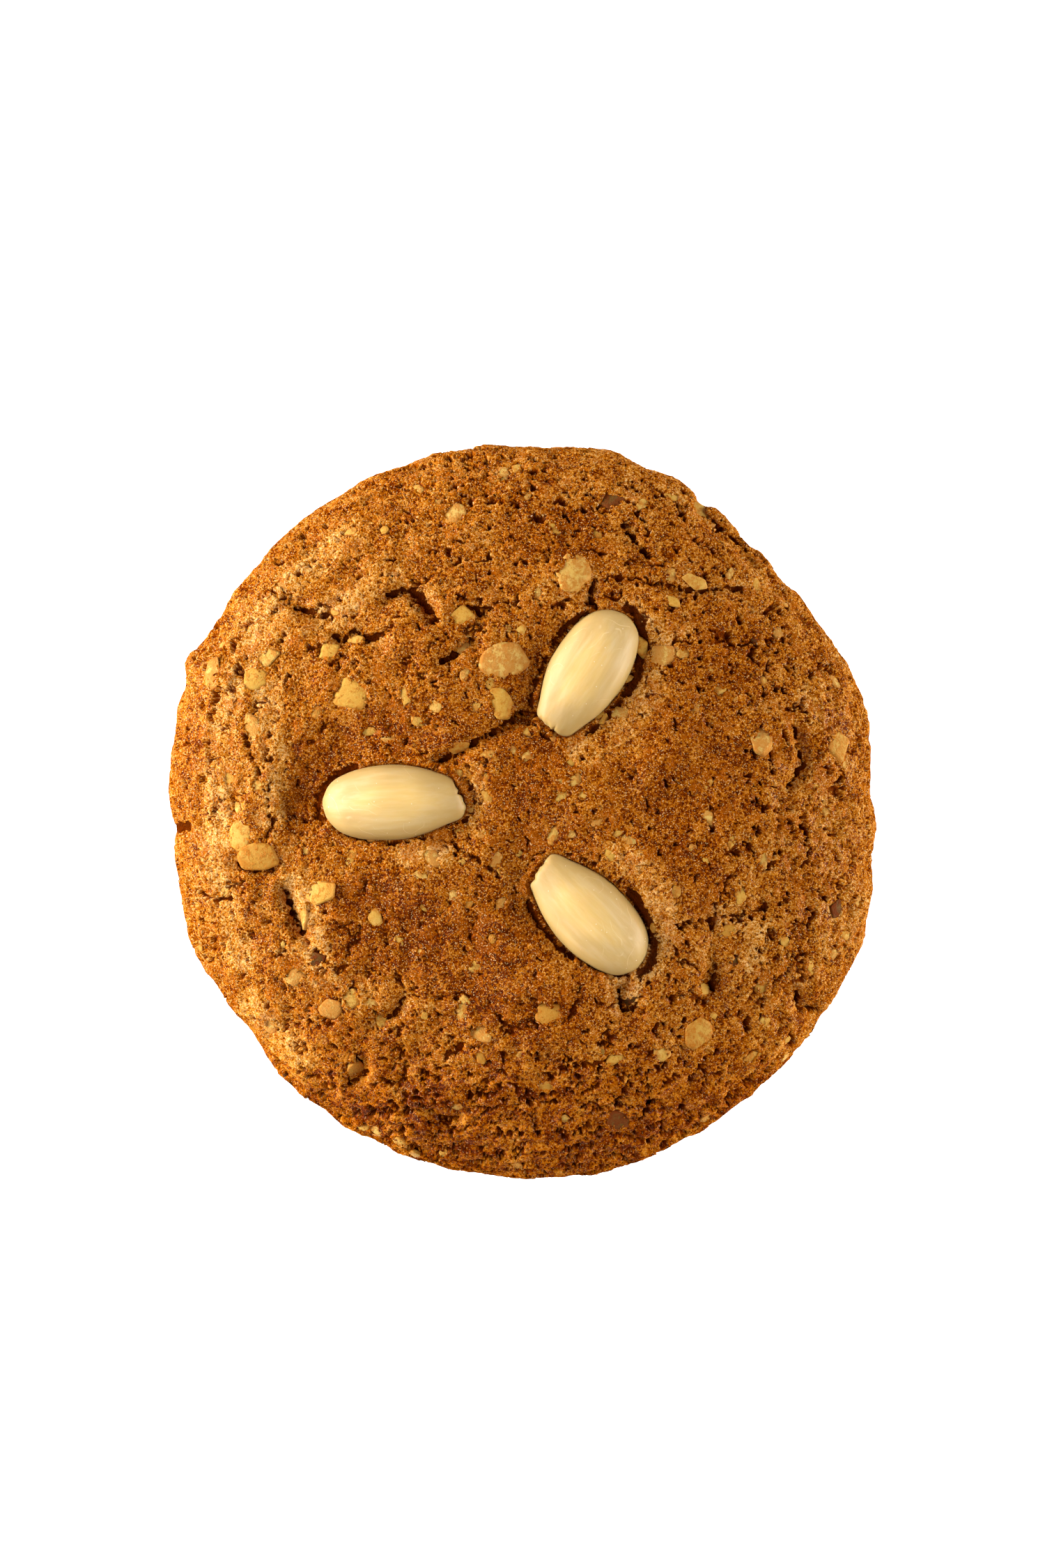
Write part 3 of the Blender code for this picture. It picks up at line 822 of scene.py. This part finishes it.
def add_seat_fillings(piece):
    """Dough that fills each almond's seat to just below the crust, added to the dough piece."""
    dough = tree_of(piece)
    fillings = []
    for almond, ((x, y), turn, half_length, half_width) in ALMOND_PLANS.items():
        filling = solid_copy(almond, almond + "_filling")
        spots = []
        for angle in np.radians(np.arange(0, 360, 30)):
            along, across = (half_length + 2) * math.cos(angle), (half_width + 2) * math.sin(angle)
            place = Matrix.Rotation(math.radians(turn), 3, "Z") @ Vector((along, across, 0))
            place += Vector((x, y, RAY_LEVEL))
            spots.append(dough.ray_cast(place * MM, Vector((0, 0, -1)))[0])
        spots = np.array(spots)
        middle = spots.mean(axis=0)
        normal = np.linalg.svd(spots - middle)[2][2]
        normal *= 1 if normal[2] > 0 else -1
        off = places_of(filling) - middle / MM
        growth = np.array((FILLING_GROWTH, FILLING_GROWTH, 1))
        filling.data.vertices.foreach_set("co", ((off * growth) * MM + middle).ravel())
        level = middle - normal * FILLING_DEPTH * MM
        with edit_mode(filling):
            bpy.ops.mesh.bisect(plane_co=level, plane_no=normal, use_fill=True, clear_outer=True)
        fillings.append(filling)
    choose(piece, *fillings)
    bpy.ops.object.join()


def divide_crust(piece):
    """Divides the squares that show from above or from the side."""
    levels = rows_of(piece.data.polygons, "center")[:, 2]
    with edit_mode(piece, levels > 0.4 * MM):
        bpy.ops.mesh.subdivide(number_cuts=1)


class LEBKUCHEN_OT_dough(bpy.types.Operator):
    """Makes the smooth dough that nuts are set into and the crust is carved from"""

    bl_idname = "lebkuchen.dough"
    bl_label = "Dough"

    def execute(self, context):
        piece = solid_copy("lebkuchen", "crust")
        add_seat_fillings(piece)
        finish(piece, "REMESH", mode="VOXEL", voxel_size=context.scene.lebkuchen_crust.grid)
        finish(piece, "SMOOTH", factor=0.5, iterations=5)
        almonds_away = away_from(places_of(piece), bpy.data.objects["almond_shells"], 2.5)
        free = piece.vertex_groups.new(name="free")
        free.add(np.flatnonzero(almonds_away > 1.9).tolist(), 1, "REPLACE")
        finish(piece, "SMOOTH", factor=0.5, iterations=24, vertex_group="free")
        places = places_of(piece)
        places += rows_of(piece.data.vertex_normals, "vector") * swell_field(places)[:, None]
        place_at(piece, places)
        return {"FINISHED"}


class LEBKUCHEN_OT_crust(bpy.types.Operator):
    """Carves the dough's skin into a porous, cracked crust and gives it its finish"""

    bl_idname = "lebkuchen.crust"
    bl_label = "Crust"

    def execute(self, context):
        settings = context.scene.lebkuchen_crust
        piece = bpy.data.objects["crust"]
        places = places_of(piece)
        crack, depth = crack_field(places)
        store(piece, "crack", crack)
        store(piece, "crack_depth", depth)
        store(piece, "worn", wear_and_light_field(places))
        store(piece, "almond", away_from(places, bpy.data.objects["almond_shells"], ALMOND_REACH))
        store(piece, "nut", away_from(places, bpy.data.objects["nut_seats"], NUT_REACH))
        divide_crust(piece)
        store(piece, "skin", places_of(piece))
        finish(piece, "NODES", node_group=relief("Crust relief", lambda t: crust_height(t, settings)))
        triangles = sum(len(face.vertices) - 2 for face in piece.data.polygons)
        finish(piece, "DECIMATE", ratio=min(settings.triangles / triangles, 1))
        places = places_of(piece)
        places[:, 2] = np.maximum(places[:, 2], 0)
        place_at(piece, places)
        ready(piece, crust_material(settings), "baked_dough", "lebkuchen")
        for helper in ("almond_shells", "nut_seats"):
            bpy.data.objects.remove(bpy.data.objects[helper])
        return {"FINISHED"}


# --- The almonds.


def almond_axes(places):
    """Middle of an almond and its three axes: towards the tip, across and up."""
    middle = places.mean(axis=0)
    _, _, axes = np.linalg.svd(places - middle, full_matrices=False)
    tip = axes[0] * (1 if axes[0] @ middle < 0 else -1)
    up = axes[2] * (1 if axes[2][2] > 0 else -1)
    return middle, np.array((tip, np.cross(up, tip), up))


def broken(local, profile):
    """Squares the tip, then cuts it back along the profile to a rough broken face."""
    tip = local[:, 0].max()
    local[:, 1] *= 1 + 0.22 * soft_share((local[:, 0] - tip + 3.5) / 3.5) ** 2
    across, set_back = np.array(profile).T
    rough = 0.06 * np.sin(5.3 * local[:, 1] + 2.3 * local[:, 2]) + 0.05 * np.sin(4.1 * local[:, 2])
    past = local[:, 0] - (tip - 0.15 - 0.8 * np.interp(local[:, 1], across, set_back) + rough)
    local[:, 0] -= 0.3 * np.log1p(np.exp(np.clip(past / 0.3, -30, 30)))
    return local


def almond_height(t, settings):
    """Height of an almond's relief in metres: furrows along it and a few soft dents."""
    grain = t.attribute("grain", vector=True)
    furrows = t.noise(grain * (0.12, 1, 1), 1.1, 3, 0.6)
    dents = t.noise(grain * (0.5, 1, 1), 4.5, 1)
    return (furrows - 0.5) * (2 * settings.furrow_depth) + (dents - 0.5) * (0.7 * MM)


def almond_material(settings):
    """Waxy blanched almond: warm heart, cream rim, low flanks darkened as an amber edge and as painted shade,
    fine streaks and scratches.
    """
    material, t = new_material(
        "blanched almond",
        Subsurface_Weight=0.45,
        Subsurface_Radius=(1, 0.7, 0.35),
        Subsurface_Scale=1.6 * MM,
    )
    grain = t.attribute("grain", vector=True)
    along, across, up = t.split(grain)
    heart, rim = tuple(settings.heart), tuple(settings.rim)
    streaks = t.noise(grain * (0.10, 1, 1), 0.9, 3, 0.6)
    warm = t.step(across * across / 3.6**2 + along * along / 8.0**2, 1, 0)
    warm = warm * 0.75 + (t.noise(grain * (0.4, 1, 1), 3, 2) - 0.5) * 0.8
    colour = t.blend(t.step(warm, 0, 0.9), rim, heart)
    colour = t.blend(t.step(streaks, 0.42, 0.66) * 0.22, colour, (0.88, 0.72, 0.44))
    colour = t.blend(t.step(streaks, 0.46, 0.30) * 0.14, colour, (0.52, 0.31, 0.070))
    # The low flanks darken, partly as the almond's amber edge, partly as painted shade.
    edge = t.step(up, 3.6, 1)
    colour = t.blend(edge * 0.8, colour, (0.48, 0.30, 0.085))
    contour = t.noise(grain + 7, 5, 1)
    scratch = t.step(contour, 0.494, 0.5) * t.step(contour, 0.506, 0.5)
    scratch = scratch * t.step(t.noise(grain, 3), 0.5, 0.6)
    colour = t.blend(scratch * 0.4, colour, (0.92, 0.74, 0.42))
    spots = t.cells(grain + 3, 1.3)
    colour = t.blend(t.step(spots, 0.075, 0.04) * 0.7, colour, (0.95, 0.86, 0.66))
    rough = 0.46 + 0.14 * streaks
    heights = streaks * 0.05 + t.noise(grain, 0.35, 2) * 0.012
    t.wire(Base_Color=colour, Roughness=rough, Normal=t.bump(0.5, heights))
    return material


class LEBKUCHEN_OT_almonds(bpy.types.Operator):
    """Refines the three almonds: broken tips, furrows and a waxy finish"""

    bl_idname = "lebkuchen.almonds"
    bl_label = "Almonds"

    def execute(self, context):
        settings = context.scene.lebkuchen_almonds
        material = almond_material(settings)
        furrows = relief("Almond relief", lambda t: almond_height(t, settings))
        shells = []
        for node, profile in BROKEN_TIPS.items():
            piece = solid_copy(node, "waxy_" + node)
            with edit_mode(piece):
                bpy.ops.mesh.tris_convert_to_quads()
            finish(piece, "SUBSURF", levels=3, render_levels=3)
            middle, axes = almond_axes(places_of(piece))
            local = broken((places_of(piece) - middle) @ axes.T, profile)
            place_at(piece, local @ axes + middle)
            tip = piece.vertex_groups.new(name="tip")
            near_tip = local[:, 0] > local[:, 0].max() - TIP_LENGTH
            tip.add(np.flatnonzero(near_tip).tolist(), 1, "REPLACE")
            finish(piece, "SMOOTH", factor=0.5, iterations=8, vertex_group="tip")
            store(piece, "grain", local)
            finish(piece, "NODES", node_group=furrows)
            shells.append(link(node + "_shell", piece.data.copy()))
            ready(piece, material, "blanched_nut", node)
        choose(*shells)
        bpy.ops.object.join()
        shells[0].name = "almond_shells"
        return {"FINISHED"}


# --- Chopped nuts and peel.


def chip_shapes():
    """Flat angular chips about one unit long and wide and one unit high, with bevelled corners."""
    shapes = []
    for seed, corners in enumerate(CHIP_CORNERS, CHIP_SEED):
        bpy.ops.object.select_all(action="DESELECT")
        bpy.ops.mesh.primitive_cylinder_add(vertices=corners, radius=0.55, depth=1, location=(0, 0, 0))
        chip = bpy.context.object
        with edit_mode(chip):
            bpy.ops.transform.vertex_random(offset=0.22, uniform=0, normal=0, seed=seed)
        for corner in chip.data.vertices:
            corner.co.z = math.copysign(0.5, corner.co.z)
        finish(chip, "BEVEL", width=0.08, segments=1, limit_method="NONE")
        shapes.append(chip.data)
        bpy.data.objects.remove(chip)
    return shapes


def strewn(count, draw):
    """Random lines towards the crust, more to the shoulder and the rim than to the top."""
    for _ in range(count):
        azimuth = draw.uniform(0, math.tau)
        reach = draw.uniform(0.10, 1) ** 0.55
        rise = (1.02 - reach) * 1.1 + 0.06
        outward = Vector((math.cos(azimuth) * reach, math.sin(azimuth) * reach, rise))
        outward.normalize()
        size = draw.uniform(0.8, 1.9)
        yield outward * 0.09 + Vector((0, 0, 2 * MM)), -outward, (size, size * draw.uniform(0.55, 0.9))


def set_chips(name, listed, shapes, proud, draw, scattered, taken):
    """Chips sunk into the dough, as one piece, and the shafts that they keep clear, as another.

    The listed chips come first. Then small ones are strewn, and left out where a place is taken.
    """
    dough = tree_of(bpy.data.objects["crust"])
    wanted = [
        (Vector((x * MM, y * MM, RAY_LEVEL * MM)), Vector((0, 0, -1)), (length, width), math.radians(turn))
        for x, y, length, width, turn in listed
    ]
    for start, direction, size in strewn(scattered, draw):
        wanted.append((start, direction, size, draw.uniform(0, math.pi)))
    chips, shafts = [], []
    for index, (start, direction, (length, width), turn) in enumerate(wanted):
        spot, normal, _, _ = dough.ray_cast(start, direction)
        if spot is None or spot.z < LOWEST_NUT * MM:
            continue
        if index >= len(listed):
            place = spot / MM
            if any(math.dist(place.xy, other) < 0.55 * (length + reach) for other, reach in taken):
                continue
            taken.append((tuple(place.xy), length))
        upright = normal.to_track_quat("Z", "X").to_matrix().to_4x4()
        length_way = upright.inverted() @ Vector((math.cos(turn), math.sin(turn), 0))
        spin = Matrix.Rotation(math.atan2(length_way.y, length_way.x), 4, "Z")
        tilt = Matrix.Rotation(draw.uniform(-0.08, 0.08), 4, "X")
        tilt = tilt @ Matrix.Rotation(draw.uniform(-0.08, 0.08), 4, "Y")
        shape = draw.choice(shapes)
        thickness = 0.45 * width
        sizes = ((thickness, proud - thickness / 2 * MM, 1.3, chips), (3, 0, 1, shafts))
        for height, lift, grown, group in sizes:
            chip = link(name, shape.copy())
            scale = Matrix.Diagonal((length * grown * MM, width * grown * MM, height * MM, 1))
            chip.data.transform(Matrix.Translation(spot + normal * lift) @ upright @ tilt @ spin @ scale)
            group.append(chip)
        store(chips[-1], "shade", np.full(len(shape.vertices), draw.random()))
        store(chips[-1], "spot", np.array([corner.co for corner in shape.vertices]))
    for group in (chips, shafts):
        choose(*group)
        bpy.ops.object.join()
    chips[0].name = name
    return chips[0], shafts[0]


def nut_material(name, colour, other, dough, rough):
    """A nut's cut face with its own shade, under a broken film of dough."""
    constants = {"Subsurface_Weight": 0.12, "Subsurface_Scale": 0.6 * MM, "Specular_IOR_Level": 0.08}
    material, t = new_material(name, **constants)
    place = t.node("ShaderNodeTexCoord", None, None, 3) * (1 / MM)
    shade = t.attribute("shade")
    spot = t.attribute("spot", vector=True) * (1, 1, 0)
    clouds = t.noise(place, 1.1, 2)
    base = t.blend(t.step(shade + clouds, 0.55, 1.45), colour, other)
    edge = t.step(t.dot(spot, spot) + (t.noise(place, 0.8, 3) - 0.5) * 0.9, 0.08, 0.26)
    base = t.blend(edge * 0.35, base, dough)
    film = t.step(t.noise(place + 9, 0.9, 4, 0.7) + shade * 0.2, 0.54, 0.68)
    grain = t.noise(place, 0.30, 3, 0.7)
    base = t.blend(film * 0.6, base, dough)
    base = t.blend(t.step(grain, 0.56, 0.70) * 0.5, base, other)
    base = t.blend(t.step(grain, 0.46, 0.34) * 0.4, base, dough)
    heights = grain * (0.12 + 0.15 * film)
    t.wire(Base_Color=base, Roughness=rough + film * 0.2, Normal=t.bump(0.7, heights))
    return material


class LEBKUCHEN_OT_nuts(bpy.types.Operator):
    """Sets chopped nuts, candied peel and dark peel into the dough"""

    bl_idname = "lebkuchen.nuts"
    bl_label = "Chopped nuts"

    def execute(self, context):
        settings = context.scene.lebkuchen_nuts
        pale, honeyed, peel = tuple(settings.pale), tuple(settings.amber), tuple(settings.peel)
        crust = context.scene.lebkuchen_crust
        brown, singed_and_shaded = tuple(crust.browned), tuple(crust.singed_and_shaded)
        draw = random.Random(STREWING_SEED)
        shapes = chip_shapes()
        kinds = (
            ("pale_nuts", PALE_NUTS, settings.scattered, pale, (0.68, 0.43, 0.11), brown, 0.5),
            ("amber_nuts", AMBER_NUTS, AMBER_STREWN, honeyed, (0.62, 0.36, 0.07), brown, 0.38),
            ("dark_peel", DARK_PEEL, 0, peel, (0.15, 0.070, 0.012), singed_and_shaded, 0.50),
        )
        taken = [((x, y), length) for kind in kinds for x, y, length, _, _ in kind[1]]
        seats = []
        for name, listed, scattered, colour, other, film, rough in kinds:
            piece, shafts = set_chips(name, listed, shapes, settings.proud, draw, scattered, taken)
            seats.append(shafts)
            ready(piece, nut_material(name, colour, other, film, rough), "blanched_nut")
        choose(*seats)
        bpy.ops.object.join()
        seats[0].name = "nut_seats"
        return {"FINISHED"}


# --- The stage.


def add_softbox(name, place, width, power, colour):
    """A soft light of that width that faces the lebkuchen."""
    bpy.ops.object.light_add(type="AREA", location=place)
    lamp = bpy.context.object
    lamp.name = name
    lamp.data.shape = "RECTANGLE"
    lamp.data.size = width
    lamp.data.size_y = SOFTBOX_HEIGHT
    lamp.data.energy = power
    lamp.data.color = colour
    lamp.rotation_euler = (-Vector(place)).to_track_quat("-Z", "Y").to_euler()


class LEBKUCHEN_OT_stage(bpy.types.Operator):
    """Sets up the pale floor, the soft lights and the camera above the lebkuchen"""

    bl_idname = "lebkuchen.stage"
    bl_label = "Stage"

    def execute(self, context):
        settings = context.scene.lebkuchen_stage
        bpy.ops.mesh.primitive_plane_add(size=4.0, location=(0, 0, -0.05 * MM))
        floor = context.object
        floor.name = "floor"
        paper, _ = new_material(
            "white paper",
            Base_Color=(0.35, 0.35, 0.35, 1),
            Roughness=0.8,
            Emission_Color=(1, 1, 1, 1),
            Emission_Strength=1.5,
        )
        floor.data.materials.append(paper)
        add_softbox("key_light", (-0.557, 0.139, 0.170), 0.60, settings.key_power, (1.0, 0.98, 0.95))
        add_softbox("top_light", (-0.246, -0.172, 0.520), 0.40, settings.top_power, (1.0, 0.99, 0.97))
        add_softbox("fill_light", (0.58, 0.0, 0.17), 0.28, settings.fill_power, (1.0, 0.99, 0.97))
        world = bpy.data.worlds.new("pale room")
        world.use_nodes = True
        background = world.node_tree.nodes["Background"].inputs
        background["Color"].default_value = (1, 1, 1, 1)
        background["Strength"].default_value = settings.surround
        context.scene.world = world
        context.scene.view_settings.view_transform = "Standard"
        right = (PHOTO_WIDTH / 2 - ORIGIN_PIXEL[0]) / PIXELS_PER_MM * MM
        up = (ORIGIN_PIXEL[1] - PHOTO_HEIGHT / 2) / PIXELS_PER_MM * MM
        level = WIDEST_LEVEL + settings.distance
        bpy.ops.object.camera_add(location=(right, up, level), rotation=(0, 0, 0))
        camera = context.object
        seen_height = PHOTO_HEIGHT / PIXELS_PER_MM * MM
        camera.data.lens = camera.data.sensor_width * settings.distance / seen_height
        camera.data.clip_end = 10
        context.scene.camera = camera
        return {"FINISHED"}


class LEBKUCHEN_PT_panel(bpy.types.Panel):
    """Lists the steps in the order in which they run"""

    bl_label = "Lebkuchen"
    bl_idname = "LEBKUCHEN_PT_panel"
    bl_space_type = "VIEW_3D"
    bl_region_type = "UI"
    bl_category = "Lebkuchen"

    def draw(self, context):
        for operator in OPERATORS:
            self.layout.operator(operator.bl_idname)
        for name, group in SETTINGS.items():
            for key in group.__annotations__:
                self.layout.prop(getattr(context.scene, name), key)


SETTINGS = {
    "lebkuchen_crust": CrustSettings,
    "lebkuchen_almonds": AlmondSettings,
    "lebkuchen_nuts": NutSettings,
    "lebkuchen_stage": StageSettings,
}
OPERATORS = (
    LEBKUCHEN_OT_almonds,
    LEBKUCHEN_OT_dough,
    LEBKUCHEN_OT_nuts,
    LEBKUCHEN_OT_crust,
    LEBKUCHEN_OT_stage,
)
CLASSES = (*SETTINGS.values(), *OPERATORS, LEBKUCHEN_PT_panel)


def register():
    for one in CLASSES:
        bpy.utils.register_class(one)
    for name, group in SETTINGS.items():
        setattr(bpy.types.Scene, name, PointerProperty(type=group))


def unregister():
    for name in SETTINGS:
        delattr(bpy.types.Scene, name)
    for one in reversed(CLASSES):
        bpy.utils.unregister_class(one)


def main():
    register()
    bpy.ops.lebkuchen.almonds()
    bpy.ops.lebkuchen.dough()
    bpy.ops.lebkuchen.nuts()
    bpy.ops.lebkuchen.crust()
    bpy.ops.lebkuchen.stage()


if __name__ == "__main__":
    main()
